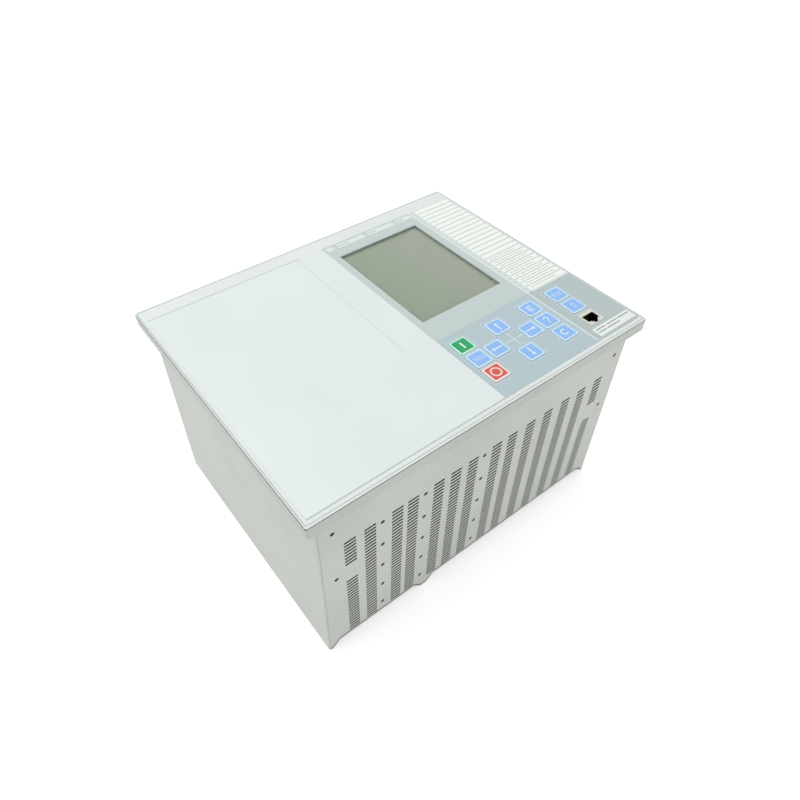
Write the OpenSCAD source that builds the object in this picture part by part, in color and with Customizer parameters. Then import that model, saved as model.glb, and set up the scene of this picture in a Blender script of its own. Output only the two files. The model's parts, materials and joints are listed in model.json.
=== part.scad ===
// Protection relay for overhead lines and substations, in a sheet metal case for flush mounting.
// It lies on its back: +Z comes out of the front, +X is right and +Y is up as seen from the front.
// The origin is in the middle of the rear edges that it lies on.

/* [Front frame] */
// Width over the folded front frame
front_w = 336; // [330:1:345]
// Height over the folded front frame
front_h = 265.9; // [262:0.1:275]
// From the rear edges to the face of the front foils
depth = 201.1; // [190:0.1:230]
// How deep the front frame is folded
flange_depth = 12; // [9:0.5:16]
// Sheet of the frame's rear face
frame_t = 1.5; // [1:0.1:2.5]
// Width of the frame's lip at the left and right
side_lip = 1.2; // [0.8:0.1:2]
// Width of the frame's lip at the top and bottom
top_lip = 2; // [1:0.1:2.5]
// Radius of the frame's corners
frame_r = 1.5; // [1:0.1:3]
// Radius of the frame's front edge
frame_edge_r = 0.2; // [0.1:0.05:0.25]
// Thickness of the frame's lip over the groove round it
lip_t = 0.3; // [0.2:0.05:0.5]
// Height of the groove under the lip
lip_groove_h = 0.6; // [0.3:0.1:1]
// Depth of the groove under the lip
lip_groove_d = 0.7; // [0.3:0.1:0.8]

/* [Front plate] */
// Thickness of the front plate
plate_t = 3; // [2:0.5:4]
// Groove between the plate and the frame's lip
plate_gap = 0.25; // [0.2:0.05:0.8]
// How far the plate's foils stand proud of the frame's lip
plate_proud = 0.4; // [0.3:0.1:1]
// Radius of the plate's corners
plate_r = 1.2; // [0.8:0.1:2]
// Radius of the plate's front edge
plate_edge_r = 0.4; // [0.2:0.1:1]
// Thickness of the printed foils
foil_t = 0.3; // [0.2:0.05:0.4]
// Thickness of the gasket behind the plate
gasket_t = 1.5; // [1:0.5:2.5]
// How far the gasket reaches out past the case
gasket_out = 3; // [2:0.5:3.5]
// Bare border of the plate left of the foils
foil_left = 2.85; // [2:0.05:6]
// Bare border of the plate right of the foils
foil_right = 1.45; // [1.2:0.05:5]
// Bare border of the plate under the foils
foil_bottom = 3.35; // [2:0.05:6]
// Height of the header strip over the foils
header_h = 14.85; // [10:0.05:20]
// Seam between the two foils
foil_seam = 0.4; // [0.2:0.1:1]

/* [Operator panel] */
// Width of the operator foil, as a share of the front frame's width
operator_w_share = 0.4604; // [0.45:0.0004:0.47]
// Width of the display opening, as a share of the operator foil's width
display_w_share = 0.5779; // [0.54:0.0001:0.59]
// Height of the display opening, as a share of the foils' height
display_h_share = 0.4914; // [0.45:0.0002:0.5]
// From the operator foil's left edge to the display opening
display_left = 6.5; // [5:0.1:9]
// From the operator foil's top edge to the display opening
display_top = 20.4; // [18:0.1:24]
// Thickness of the display's pane
pane_t = 1.5; // [1:0.1:2]
// Air gap between the pane and the display's panel
pane_gap = 0.4; // [0.2:0.1:0.8]
// How much wider than its opening the display's panel is on each side
panel_over = 2; // [1:0.5:3]
// Thickness of the display's panel
panel_t = 2; // [1:0.5:3]
// Wall of the display's metal frame
display_frame_t = 1.2; // [0.8:0.1:2]
// From the foil's right edge to the label card
label_right = 1.2; // [1:0.1:4]
// Width of the label card, as a share of the operator foil's width
label_w_share = 0.2818; // [0.25:0.0002:0.2838]
// Height of the label card, as a share of the foils' height
label_h_share = 0.6682; // [0.64:0.0002:0.675]
// Number of labels, each with a lamp
label_rows = 25; // [15:1:25]
// From the operator foil's top edge to the label card
label_top = 1.2; // [1:0.1:3]
// Thickness of the label card
label_t = 0.2; // [0.1:0.05:0.25]
// Diameter of a lamp's lens
lamp_d = 3; // [2:0.1:3.5]
// From the label card's left edge to the middle of its lamps
lamp_left = 4; // [3:0.1:5]
// From the foil's top edge to the middle of the status lamps
status_down = 4.9; // [4:0.1:6]
// From the foil's left edge to the first status lamp
status_left = 11.6; // [8:0.1:14]
// From one status lamp to the next, as a share of the operator foil's width
status_pitch_share = 0.2301; // [0.2:0.0001:0.24]

/* [Keys] */
// Gap between two keys that are side by side
key_gap_x = 2.9; // [2.5:0.1:4]
// Gap between two keys that are one above the other
key_gap_y = 2.65; // [2.5:0.05:4]
// Radius of a key's corners
key_r = 1.6; // [1:0.1:3]
// Radius of a key's upper edge
key_edge_r = 0.4; // [0.2:0.1:0.5]
// How far a key stands proud of the foil
key_proud = 0.6; // [0.5:0.1:1.5]
// How far a key goes down
key_travel = 0.6; // [0.3:0.1:1]
// Clearance round a key
key_clear = 0.3; // [0.2:0.05:0.4]
// Width of the flange that keeps a key in
key_flange = 0.9; // [0.6:0.1:0.9]
// Thickness of that flange
key_flange_t = 1; // [0.8:0.1:1.5]
// From one key column to the next, as a share of the operator foil's width
key_col_share = 0.1241; // [0.12:0.0001:0.126]
// From one key row to the next, as a share of the foils' height
key_row_share = 0.0779; // [0.076:0.0001:0.08]
// From the foil's left edge to the first key column
key_left_x = 13; // [11:0.1:14]
// From the foil's bottom edge to the lowest key row, as a share of the foils' height
key_bottom_share = 0.0987; // [0.085:0.0001:0.105]
// From the foil's right edge to the right key column, as a share of the operator foil's width
key_right_share = 0.2114; // [0.2:0.0002:0.22]

/* [Network socket] */
// Width of the socket
socket_w = 16.9; // [16:0.1:18]
// Height of the socket
socket_h = 15.7; // [15:0.1:16.5]
// How much lower than the lowest keys the socket sits
socket_drop = 0.1; // [0:0.1:1]
// Width of the socket's opening
mouth_w = 13; // [11.8:0.1:13.4]
// Height of the socket's opening
mouth_h = 7.8; // [6.8:0.1:8]
// From the socket's top to its opening
mouth_top = 3.7; // [3:0.1:4]
// Widths of the two steps of the latch notch
notch_w = [8, 4.4];
// Heights of the two steps of the latch notch
notch_h = [1.4, 1.9];
// Floor of the socket
socket_floor = 2; // [1.5:0.1:3]
// Clearance round the socket in the plate
socket_clear = 0.2; // [0.1:0.05:0.5]

/* [Case] */
// How far the frame stands out past the case at the left and right
frame_side = 9; // [8:0.5:12]
// How far the frame stands out past the case at the top and bottom
frame_over = 6.5; // [6:0.1:8]
// Sheet of the two side walls
wall_t = 1.5; // [1:0.1:2]
// Radius of the side walls' bends
bend_r = 1.2; // [0.5:0.1:1.4]
// Sheet of the two vented sheets
sheet_t = 1; // [0.8:0.1:2]
// Gap between the side walls' folds and the nearest card guide
fold_gap = 0.9; // [0.5:0.1:2]
// Seam between sheets
seam = 0.2; // [0.1:0.05:0.4]
// From the rear edges to the vented sheets' rear edge
rear_step = 8; // [7:0.5:10]
// How far the vented sheets fold in at the rear
rear_fold = 11; // [10:0.5:12]
// Flat tip of a rear corner tab
corner_tip = 1.6; // [1:0.2:4]
// Width of the slope of a rear tab
tab_slope = 8; // [6:0.5:12]
// Flat tip of the middle rear tab
middle_tip = 6.2; // [4:0.2:10]

/* [Vents] */
// Width of a vent slot
vent_w = 10.5; // [8:0.5:11]
// Height of a vent slot
vent_h = 2.1; // [1.5:0.1:2.5]
// From one slot to the next
vent_pitch = 4.14; // [4:0.02:4.2]
// From the front face to the first slot
vent_first = 55.6; // [50:0.2:58]
// Least room from the last slot to the rear edges
vent_last = 11.5; // [11:0.5:20]
// Slots above the gap in an outer column
outer_rows = 8; // [6:1:10]
// Slots missing in an outer column
outer_gap_rows = 5; // [3:1:7]

/* [Inside] */
// Thickness of the partition walls
partition_t = 4; // [3:0.5:5]
// Thickness of the circuit boards
board_t = 1.6; // [1.2:0.1:2]
// From the front face to the backplane board, as a share of the depth
backplane_share = 0.19; // [0.188:0.001:0.2]
// Depth of the backplane's connectors
connector_deep = 10; // [8:0.5:12]
// Thickness of the rear plates
rear_plate_t = 1.5; // [1:0.1:2]
// Width of a card guide
guide_w = 5; // [4.5:0.1:5.4]
// Height of a card guide
guide_h = 5; // [4:0.1:6]
// Depth of a card guide's groove
guide_groove = 3; // [2:0.1:3.5]
// Pitch of the plug-in terminals
plug_pitch = 5.08; // [5:0.01:5.08]
// Least room beyond the ends of the terminals
terminal_margin = 18; // [17:0.5:20]
// Pitch of a transformer terminal strip
strip_pitch = 15.2; // [14:0.1:15.6]

/* [Hidden] */
$fn = 40;
small_fn = 24;
over = 1;
touch = 0.1;

// Sizes that are worked out from shares end on this grid
grid = 0.01;
function even(size) = round(size / grid) * grid;

// Heights, from the rear edges at zero
face_z = depth;
plate_z = face_z - foil_t;
plate_back_z = plate_z - plate_t;
wall_front_z = plate_back_z - gasket_t;
frame_rear_z = face_z - flange_depth;
lip_z = face_z - plate_proud;

// The case inside the frame
case_w = front_w - 2 * frame_side;
case_h = front_h - 2 * frame_over;

// Front plate and its foils
plate_w = front_w - 2 * (side_lip + plate_gap);
plate_h = front_h - 2 * (top_lip + plate_gap);
foil_x1 = plate_w / 2 - foil_right;
foil_x0 = -plate_w / 2 + foil_left;
foil_y0 = -plate_h / 2 + foil_bottom;
foil_y1 = plate_h / 2 - header_h;
foil_h = foil_y1 - foil_y0;
operator_w = even(operator_w_share * front_w);
display_w = even(display_w_share * operator_w);
display_h = even(display_h_share * foil_h);
label_w = even(label_w_share * operator_w);
status_pitch = even(status_pitch_share * operator_w);
operator_x0 = foil_x1 - operator_w;
display_x = operator_x0 + display_left + display_w / 2;
display_y = foil_y1 - display_top - display_h / 2;
label_x1 = foil_x1 - label_right;
label_x0 = label_x1 - label_w;
label_y1 = foil_y1 - label_top;
label_pitch = even(label_h_share * foil_h / label_rows);
label_h = label_rows * label_pitch;
label_gap = 0.1;
lamp_x = label_x0 - lamp_left;
lamp_clear = 0.2;
lamp_sink = 0.1;
status_y = foil_y1 - status_down;

// Key columns, the last one beside the socket, and rows from the lowest
key_cols = 5;
key_pitch_x = even(key_col_share * operator_w);
key_pitch_y = even(key_row_share * foil_h);
key_w = key_pitch_x - key_gap_x;
key_h = key_pitch_y - key_gap_y;
function key_x(col) = col < key_cols
    ? operator_x0 + key_left_x + col * key_pitch_x
    : foil_x1 - even(key_right_share * operator_w);
function key_y(row) = foil_y0 + even(key_bottom_share * foil_h) + row * key_pitch_y;
KEY_PLACES = [[0, 2], [0, 1], [0, 0], [1, 1], [2, 2], [2, 0], [3, 1], [4, 2], [4, 1], [4, 0], [5, 2], [5, 1]];
key_low_z = plate_back_z - key_clear - key_flange_t;

// Operator board, its switches and its carrier
board_drop = 10.5;
operator_board_z = plate_back_z - board_drop;
switch_w = 6;
switch_h = 4.5;
plunger_d = 3.5;
plunger_top = key_low_z - key_travel - key_clear;
carrier_t = 2;
carrier_gap = 5;
carrier_inset = 1.2;
carrier_floor_z = operator_board_z - board_t - carrier_gap;
carrier_x0 = operator_x0 - carrier_t;
carrier_x1 = case_w / 2 - wall_t - carrier_inset;
stud_d = 3;
stud_hole_d = 3.4;
post_d = 7;
stud_y0 = key_y(0) - key_h / 2 - key_clear - key_flange - stud_d / 2 - 2 * seam;
carrier_y0 = stud_y0 - post_d / 2 - seam - carrier_t;
carrier_y1 = foil_y1 + carrier_t;
nut_w = 5.5;
nut_t = 2.4;
stud_inset = 7;
stud_end = 0.6;

// Network socket
socket_x = key_x(key_cols);
socket_y = key_y(0) - socket_drop;
socket_proud = 0.2;
mouth_y1 = socket_y + socket_h / 2 - mouth_top;
contact_n = 8;
contact_pitch = 1.02;
contact_w = 0.5;
contact_h = 0.7;
contact_back = 5;

// Case
sheet_half = case_w / 2 - wall_t - seam;
wall_inner = case_w / 2 - wall_t;
sheet_inner_y = case_h / 2 - sheet_t;
middle_tab_share = -0.1787;
fold_start = 4;
fold_stop = 8;

// Partitions and columns of vent slots, as shares of the case's width
partition_shares = [-0.3239, -0.1956, -0.005];
vent_col_shares = [-0.4157, -0.3594, -0.2799, -0.233, -0.1535, -0.0987, -0.0425,
                   0.0377, 0.0931, 0.1582, 0.2223, 0.2887, 0.3531, 0.4198];
vent_rows = floor((depth - vent_first - vent_last) / vent_pitch) + 1;
partition_z0 = rear_step + sheet_t + seam;
partition_z1 = face_z - backplane_share * depth;
function partition_x(i) = partition_shares[i] * case_w;

// Screws that hold the vented sheets, in rows along the depth
sheet_screw_d = 3.6;
sheet_screw_core = 2.2;
sheet_screw_long = 7;
sheet_screw_sink = 0.2;
screw_first_share = 0.2934;
screw_pitch_share = 0.1499;
screw_rows = 5;
wall_screw_deep_shares = [0.1716, 0.4774];
function screw_z(row) = face_z - depth * (screw_first_share + row * screw_pitch_share);

// Slots for boards, from the middle partition to the right wall
left_slots = 3;
right_slots = 8;
slot_bay_x = [partition_x(1) + partition_t / 2, partition_x(2) + partition_t / 2];
slot_bay_end = [partition_x(2) - partition_t / 2, wall_inner];
slot_n = left_slots + right_slots;
function slot_pitch(i) = i < left_slots
    ? (slot_bay_end[0] - slot_bay_x[0]) / left_slots
    : (slot_bay_end[1] - slot_bay_x[1]) / right_slots;
function slot_x0(i) = i < left_slots
    ? slot_bay_x[0] + i * slot_pitch(i)
    : slot_bay_x[1] + (i - left_slots) * slot_pitch(i);
BLANK_SLOTS = [for (i = [0:left_slots - 1]) i];
IO_SLOTS = [for (i = [left_slots:slot_n - 3]) i];
processor_slot = slot_n - 2;
power_slot = slot_n - 1;
guide_side = 0.7;
guide_z0 = partition_z0 + fold_start;
guide_stop = 12;
function board_x(i) = slot_x0(i) + guide_side + guide_w / 2;

// Folds of the side walls, as wide as the guides leave room, with their screws near the free edge
wall_fold = slot_pitch(power_slot) - guide_side - guide_w - fold_gap;
left_screw_in = 1.5;
right_screw_in = 2.9;
WALL_SCREW_X = [-wall_inner + wall_fold - left_screw_in, wall_inner - wall_fold + right_screw_in];
board_half = sheet_inner_y - guide_h + guide_groove - seam;

// Rear plates
rear_z = rear_step - rear_plate_t;
plate_half = sheet_inner_y - seam;
plate_seam = 0.3;
rear_screw_d = 5.2;
rear_screw_t = 1.8;
rear_screw_core = 2.8;
rear_screw_hole = 3.2;
rear_screw_long = 3.4;
rear_screw_y = sheet_inner_y - rear_fold / 2;

// Plug-in terminal blocks, as many ways as have room, and their headers
plug_room = 7.24;
plug_w = slot_pitch(power_slot) - plug_room;
plug_end = 1.4;
terminal_half = plate_half - rear_fold - terminal_margin;
plug_ways = floor((terminal_half - plug_end) / plug_pitch);
plug_l = plug_ways * plug_pitch + plug_end;
plug_z0 = 0.8;
plug_gap = 0.25;
header_wall = 1.2;
header_deep = 12;
header_floor = 2;
plug_y = plug_l / 2 + header_wall + 3 * plug_gap;
entry_w = 3;
entry_deep = 4;
entry_x_share = 0.234;
entry_x = entry_x_share * plug_w;
port_screw_d = 3;
port_screw_deep = 2;
header_w = plug_w + 2 * (plug_gap + header_wall);
header_l = plug_l + 2 * (plug_gap + header_wall);
header_clear = 0.15;

// Optical and serial ports on the processor's rear plate
optical_n = 4;
optical_pitch_share = 0.0949;
optical_pitch = optical_pitch_share * case_h;
optical_y0 = 18;
optical_body = [11, 14, 10];
optical_d = 8;
optical_core_d = 2.5;
optical_pair = 12;

// Transformers
transformer_bays = [[-wall_inner, partition_x(0) - partition_t / 2],
                    [partition_x(0) + partition_t / 2, partition_x(1) - partition_t / 2]];
transformer_half = sheet_inner_y - rear_fold - seam;
transformer_pitch = 42;
transformer_rows = floor(2 * transformer_half / transformer_pitch);
transformer_board_gap = 1.2;
core_y = 34;
core_z = 30;
core_x = 18;
core_leg = 8;
core_window = 5;
core_z0 = 60;
coil_gap = 0.3;
coil_out = 3.5;
strip_w = 15.5;
strip_deep = 16;
strip_end = 4;
strip_ways = floor((2 * terminal_half - strip_end) / strip_pitch);
strip_l = strip_ways * strip_pitch + strip_end;
strip_z0 = 0.8;
strip_screw_d = 6;
strip_screw_gap = 0.3;
strip_screw_pocket = 3.4;
strip_entry = 3.8;
strip_entry_deep = 6;
strip_cell_x = 3.6;
STRIPS_PER_BAY = [2, 1];

// Earth screw on the first transformer plate
earth_d = 10;
earth_t = 3.4;
washer_d = 13;
washer_t = 1;
earth_core_d = 5.8;
earth_hole_d = 6.2;
earth_long = 6;
earth_up = 13;
earth_side = 1.4;

// Rectangle with round corners
module rounded(w, h, r) {
    square([w - 2 * r, h], center = true);
    square([w, h - 2 * r], center = true);
    for (x = [-1, 1], y = [-1, 1]) translate([x * (w / 2 - r), y * (h / 2 - r)]) circle(r);
}

// Side view of a slab with round upper edges
module slab_side(w, t, r) {
    translate([-w / 2, 0]) square([w, t - r]);
    translate([-w / 2 + r, 0]) square([w - 2 * r, t]);
    for (s = [-1, 1]) translate([s * (w / 2 - r), t - r]) circle(r);
}

// Slab with round corners and a round upper edge
module slab(w, h, t, corner, edge) {
    intersection() {
        linear_extrude(t) rounded(w, h, corner);
        rotate([90, 0, 0]) linear_extrude(h + over, center = true) slab_side(w, t, edge);
        rotate([90, 0, 90]) linear_extrude(w + over, center = true) slab_side(h, t, edge);
    }
}

// Box given by its low corner and its high corner
module between(low, high) {
    translate(low) cube(high - low);
}

// Box that is centred in X and Y and stands on z
module block(x, y, z, w, h, t) {
    translate([x - w / 2, y - h / 2, z]) cube([w, h, t]);
}

// Rod along Z
module rod(x, y, z, d, t) {
    translate([x, y, z]) cylinder(d = d, h = t);
}

// Holes that the keys, lamps and socket need in the plate and the foil
module key_holes(gap) {
    for (p = KEY_PLACES)
        translate([key_x(p[0]), key_y(p[1])])
            rounded(key_w + 2 * gap, key_h + 2 * gap, key_r + gap);
}

module lamp_places() {
    for (i = [0:label_rows - 1]) translate([lamp_x, label_y1 - (i + 0.5) * label_pitch]) children();
}

module status_places() {
    for (i = [0:2]) translate([operator_x0 + status_left + i * status_pitch, status_y]) children();
}

module front_openings(gap) {
    translate([display_x, display_y]) square([display_w, display_h], center = true);
    key_holes(key_clear);
    translate([socket_x, socket_y])
        square([socket_w + 2 * socket_clear, socket_h + 2 * socket_clear], center = true);
    lamp_places() circle(d = lamp_d + 2 * gap, $fn = small_fn);
    status_places() circle(d = lamp_d + 2 * gap, $fn = small_fn);
}

// The lower studs stand below the flanges of the lowest keys
module stud_places() {
    x0 = carrier_x0 + carrier_t + stud_inset / 2;
    x1 = carrier_x1 - carrier_t - stud_inset;
    for (x = [x0, x1], y = [stud_y0, carrier_y1 - carrier_t - stud_inset / 2])
        translate([x, y]) children();
}

// Groove that runs round the frame under its lip
module lip_groove() {
    translate([0, 0, lip_z - lip_t - lip_groove_h])
        linear_extrude(lip_groove_h)
            difference() {
                square([front_w + over, front_h + over], center = true);
                rounded(front_w - 2 * lip_groove_d, front_h - 2 * lip_groove_d, frame_r);
            }
}

// Front frame, a channel that is open to the front and closed behind by the panel face
module front_frame() {
    color("gainsboro")
        difference() {
            translate([0, 0, frame_rear_z])
                slab(front_w, front_h, lip_z - frame_rear_z, frame_r, frame_edge_r);
            lip_groove();
            translate([0, 0, frame_rear_z + frame_t])
                linear_extrude(flange_depth)
                    rounded(front_w - 2 * side_lip, front_h - 2 * top_lip, plate_r + plate_gap);
            block(0, 0, frame_rear_z - over, case_w, case_h, flange_depth);
        }
}

module plate_gasket() {
    color("dimgray")
        difference() {
            block(0, 0, wall_front_z, case_w + 2 * gasket_out, case_h + 2 * gasket_out, gasket_t);
            block(0, 0, wall_front_z - over, 2 * wall_inner, 2 * sheet_inner_y, gasket_t + 2 * over);
        }
}

// Front plate with round edges, and the weld studs that hold the operator unit
module front_plate() {
    color("whitesmoke") {
        difference() {
            translate([0, 0, plate_back_z]) slab(plate_w, plate_h, plate_t, plate_r, plate_edge_r);
            translate([0, 0, plate_back_z - over])
                linear_extrude(plate_t + 2 * over) front_openings(lamp_clear);
        }
        stud_places()
            translate([0, 0, carrier_floor_z - nut_t - stud_end])
                cylinder(d = stud_d, h = plate_back_z - carrier_floor_z + nut_t + stud_end + touch);
    }
}

module blank_foil() {
    color("aliceblue")
        between([foil_x0, foil_y0, plate_z], [operator_x0 - foil_seam, foil_y1, face_z]);
}

module operator_foil() {
    color("lightsteelblue")
        translate([0, 0, plate_z])
            linear_extrude(foil_t)
                difference() {
                    translate([operator_x0, foil_y0]) square([operator_w, foil_y1 - foil_y0]);
                    front_openings(lamp_clear);
                    translate([label_x0 - label_gap, label_y1 - label_h - label_gap])
                        square([label_w + 2 * label_gap, label_h + 2 * label_gap]);
                }
}

module label_card() {
    color("ghostwhite")
        between([label_x0, label_y1 - label_h, plate_z], [label_x1, label_y1, plate_z + label_t]);
}

// Pane set back in the plate's opening, on the display's panel
module display_pane() {
    color("darkseagreen", 0.6)
        block(display_x, display_y, plate_back_z + pane_gap, display_w - 2 * label_gap,
              display_h - 2 * label_gap, pane_t);
}

module display_panel() {
    color("darkseagreen")
        block(display_x, display_y, plate_back_z - panel_t,
              display_w + 2 * panel_over, display_h + 2 * panel_over, panel_t);
}

// Metal frame round the panel, standing on the operator board
module display_frame() {
    inner_w = display_w + 2 * (panel_over + label_gap);
    inner_h = display_h + 2 * (panel_over + label_gap);
    color("silver")
        difference() {
            block(display_x, display_y, operator_board_z, inner_w + 2 * display_frame_t,
                  inner_h + 2 * display_frame_t, board_drop);
            block(display_x, display_y, plate_back_z - panel_t, inner_w, inner_h, panel_t + over);
            block(display_x, display_y, operator_board_z + display_frame_t, display_w, display_h, board_drop);
        }
}

module status_lamps() {
    color("honeydew")
        status_places()
            translate([0, 0, operator_board_z])
                cylinder(d = lamp_d, h = face_z - operator_board_z - lamp_sink, $fn = small_fn);
}

module indication_lamps() {
    color("honeydew")
        lamp_places()
            translate([0, 0, operator_board_z])
                cylinder(d = lamp_d, h = face_z - operator_board_z - lamp_sink, $fn = small_fn);
}

module operator_board() {
    side = carrier_t + seam;
    color("seagreen")
        difference() {
            between([carrier_x0 + side, carrier_y0 + side, operator_board_z - board_t],
                    [carrier_x1 - side, carrier_y1 - side, operator_board_z]);
            stud_places()
                translate([0, 0, operator_board_z - board_t - over])
                    cylinder(d = stud_hole_d, h = board_t + 2 * over);
        }
}

module key_switches() {
    color("darkslategray")
        for (p = KEY_PLACES) {
            block(key_x(p[0]), key_y(p[1]), operator_board_z, switch_w, switch_w, switch_h);
            rod(key_x(p[0]), key_y(p[1]), operator_board_z + switch_h - touch, plunger_d,
                plunger_top - operator_board_z - switch_h + touch);
        }
}

// Moulded tray that holds the operator board against the front plate
module operator_carrier() {
    color("gray")
        difference() {
            union() {
                difference() {
                    between([carrier_x0, carrier_y0, carrier_floor_z],
                            [carrier_x1, carrier_y1, plate_back_z]);
                    between([carrier_x0 + carrier_t, carrier_y0 + carrier_t, carrier_floor_z + carrier_t],
                            [carrier_x1 - carrier_t, carrier_y1 - carrier_t, plate_back_z + over]);
                }
                stud_places()
                    translate([0, 0, carrier_floor_z])
                        cylinder(d = post_d, h = operator_board_z - board_t - carrier_floor_z);
            }
            stud_places() translate([0, 0, carrier_floor_z - over]) cylinder(d = stud_hole_d, h = board_drop);
        }
}

module carrier_nuts() {
    color("silver")
        stud_places()
            translate([0, 0, carrier_floor_z - nut_t])
                difference() {
                    cylinder(d = nut_w / cos(30), h = nut_t, $fn = 6);
                    translate([0, 0, -over]) cylinder(d = stud_d + 2 * touch, h = nut_t + 2 * over);
                }
}

// Front network socket with its stepped latch notch towards the bottom
module network_socket() {
    top = face_z + socket_proud;
    color("cornsilk")
        difference() {
            block(socket_x, socket_y, operator_board_z, socket_w, socket_h, top - operator_board_z);
            translate([socket_x, 0, operator_board_z + socket_floor])
                linear_extrude(top - operator_board_z) {
                    translate([-mouth_w / 2, mouth_y1 - mouth_h]) square([mouth_w, mouth_h]);
                    translate([-notch_w[0] / 2, mouth_y1 - mouth_h - notch_h[0]])
                        square([notch_w[0], mouth_h]);
                    translate([-notch_w[1] / 2, mouth_y1 - mouth_h - notch_h[0] - notch_h[1]])
                        square([notch_w[1], mouth_h]);
                }
        }
}

module socket_contacts() {
    long = face_z - operator_board_z - socket_floor - contact_back;
    color("gold")
        for (i = [0:contact_n - 1])
            block(socket_x + (i - (contact_n - 1) / 2) * contact_pitch, mouth_y1 - contact_h / 2,
                  operator_board_z + socket_floor, contact_w, contact_h, long);
}

// One key: a cap through the plate and the foil, and a flange that keeps it in
module key_cap(i, tint) {
    p = KEY_PLACES[i];
    out = 2 * (key_clear + key_flange);
    color(tint)
        translate([key_x(p[0]), key_y(p[1]), key_low_z]) {
            slab(key_w, key_h, face_z + key_proud - key_low_z, key_r, key_edge_r);
            linear_extrude(key_flange_t) rounded(key_w + out, key_h + out, key_r);
        }
}

module key_on() { key_cap(0, "mediumseagreen"); }
module key_menu() { key_cap(1, "cornflowerblue"); }
module key_off() { key_cap(2, "tomato"); }
module key_left() { key_cap(3, "cornflowerblue"); }
module key_up() { key_cap(4, "cornflowerblue"); }
module key_down() { key_cap(5, "cornflowerblue"); }
module key_right() { key_cap(6, "cornflowerblue"); }
module key_enter() { key_cap(7, "cornflowerblue"); }
module key_help() { key_cap(8, "cornflowerblue"); }
module key_cancel() { key_cap(9, "cornflowerblue"); }
module key_clear_lamps() { key_cap(10, "cornflowerblue"); }
module key_local_remote() { key_cap(11, "cornflowerblue"); }

// Screw that holds a vented sheet: a countersunk head and a core, along +Y from zero
module sheet_screw(gap) {
    rotate([-90, 0, 0]) {
        translate([0, 0, sheet_screw_sink])
            cylinder(d1 = sheet_screw_d + 2 * gap, d2 = sheet_screw_core + 2 * gap,
                     h = sheet_t - sheet_screw_sink, $fn = small_fn);
        translate([0, 0, sheet_t - touch])
            cylinder(d = sheet_screw_core + 2 * gap, h = sheet_screw_long + gap, $fn = small_fn);
        if (gap > 0)
            translate([0, 0, -over])
                cylinder(d = sheet_screw_d + 2 * gap, h = over + sheet_screw_sink + touch, $fn = small_fn);
    }
}

module partition_screws(gap) {
    for (i = [0:2], row = [0:screw_rows - 1])
        translate([partition_x(i), -case_h / 2, screw_z(row)]) sheet_screw(gap);
}

module wall_screws(gap) {
    for (x = WALL_SCREW_X, deep = wall_screw_deep_shares)
        translate([x, -case_h / 2, face_z - deep * depth]) sheet_screw(gap);
}

module both_sheets() {
    children();
    mirror([0, 1, 0]) children();
}

module sheet_screws() {
    color("dimgray")
        both_sheets() {
            partition_screws(0);
            wall_screws(0);
        }
}

// Left side wall: a sheet with its upper and lower edges folded in
module side_wall() {
    difference() {
        union() {
            linear_extrude(wall_front_z)
                difference() {
                    translate([-case_w / 2 + bend_r, 0]) wall_outline();
                    translate([-wall_inner, -case_h]) square([case_w, 2 * case_h]);
                }
            both_sheets()
                between([-wall_inner - touch, -sheet_inner_y, partition_z0 + fold_start],
                        [-wall_inner + wall_fold, -sheet_inner_y + wall_t, wall_front_z - fold_stop]);
        }
        both_sheets() wall_screws(touch);
    }
}

module wall_outline() {
    for (s = [-1, 1]) translate([0, s * (case_h / 2 - bend_r)]) circle(bend_r);
    translate([-bend_r, -case_h / 2 + bend_r]) square([2 * bend_r, case_h - 2 * bend_r]);
    translate([0, -case_h / 2]) square([wall_t, case_h]);
}

module left_wall() { color("lightgray") side_wall(); }

module right_wall() {
    color("lightgray")
        difference() {
            mirror([1, 0, 0]) side_wall();
            both_sheets() wall_screws(touch);
        }
}

// Outline of a vented sheet in X and Z, with its tapered rear tabs
module sheet_outline() {
    mid = middle_tab_share * case_w;
    polygon([
        [-sheet_half, wall_front_z],
        [-sheet_half, 0],
        [-sheet_half + corner_tip, 0],
        [-sheet_half + corner_tip + tab_slope, rear_step],
        [mid - middle_tip / 2 - tab_slope, rear_step],
        [mid - middle_tip / 2, 0],
        [mid + middle_tip / 2, 0],
        [mid + middle_tip / 2 + tab_slope, rear_step],
        [sheet_half - corner_tip - tab_slope, rear_step],
        [sheet_half - corner_tip, 0],
        [sheet_half, 0],
        [sheet_half, wall_front_z],
    ]);
}

function is_outer(col) = col == 0 || col == len(vent_col_shares) - 1;
function has_slot(col, row) = !is_outer(col) || row < outer_rows || row >= outer_rows + outer_gap_rows;

module vent_slots() {
    for (col = [0:len(vent_col_shares) - 1], row = [0:vent_rows - 1])
        if (has_slot(col, row))
            translate([vent_col_shares[col] * case_w, face_z - vent_first - row * vent_pitch])
                square([vent_w, vent_h], center = true);
}

module vented_sheet() {
    difference() {
        union() {
            translate([0, -sheet_inner_y, 0])
                rotate([90, 0, 0])
                    linear_extrude(sheet_t)
                        difference() {
                            sheet_outline();
                            vent_slots();
                        }
            between([-sheet_half, -sheet_inner_y - touch, rear_step],
                    [sheet_half, -sheet_inner_y + rear_fold, rear_step + sheet_t]);
        }
        partition_screws(touch);
        wall_screws(touch);
        rear_screw_places() rod(0, 0, 0, rear_screw_hole, rear_step + 2 * sheet_t);
    }
}

module bottom_sheet() { color("lightgray") vented_sheet(); }
module top_sheet() { color("lightgray") mirror([0, 1, 0]) vented_sheet(); }

// Partition wall: a plate with tapped edges that the sheets' screws go into
module partition(i) {
    color("silver")
        difference() {
            between([partition_x(i) - partition_t / 2, -sheet_inner_y, partition_z0],
                    [partition_x(i) + partition_t / 2, sheet_inner_y, partition_z1]);
            both_sheets() partition_screws(touch);
        }
}

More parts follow.
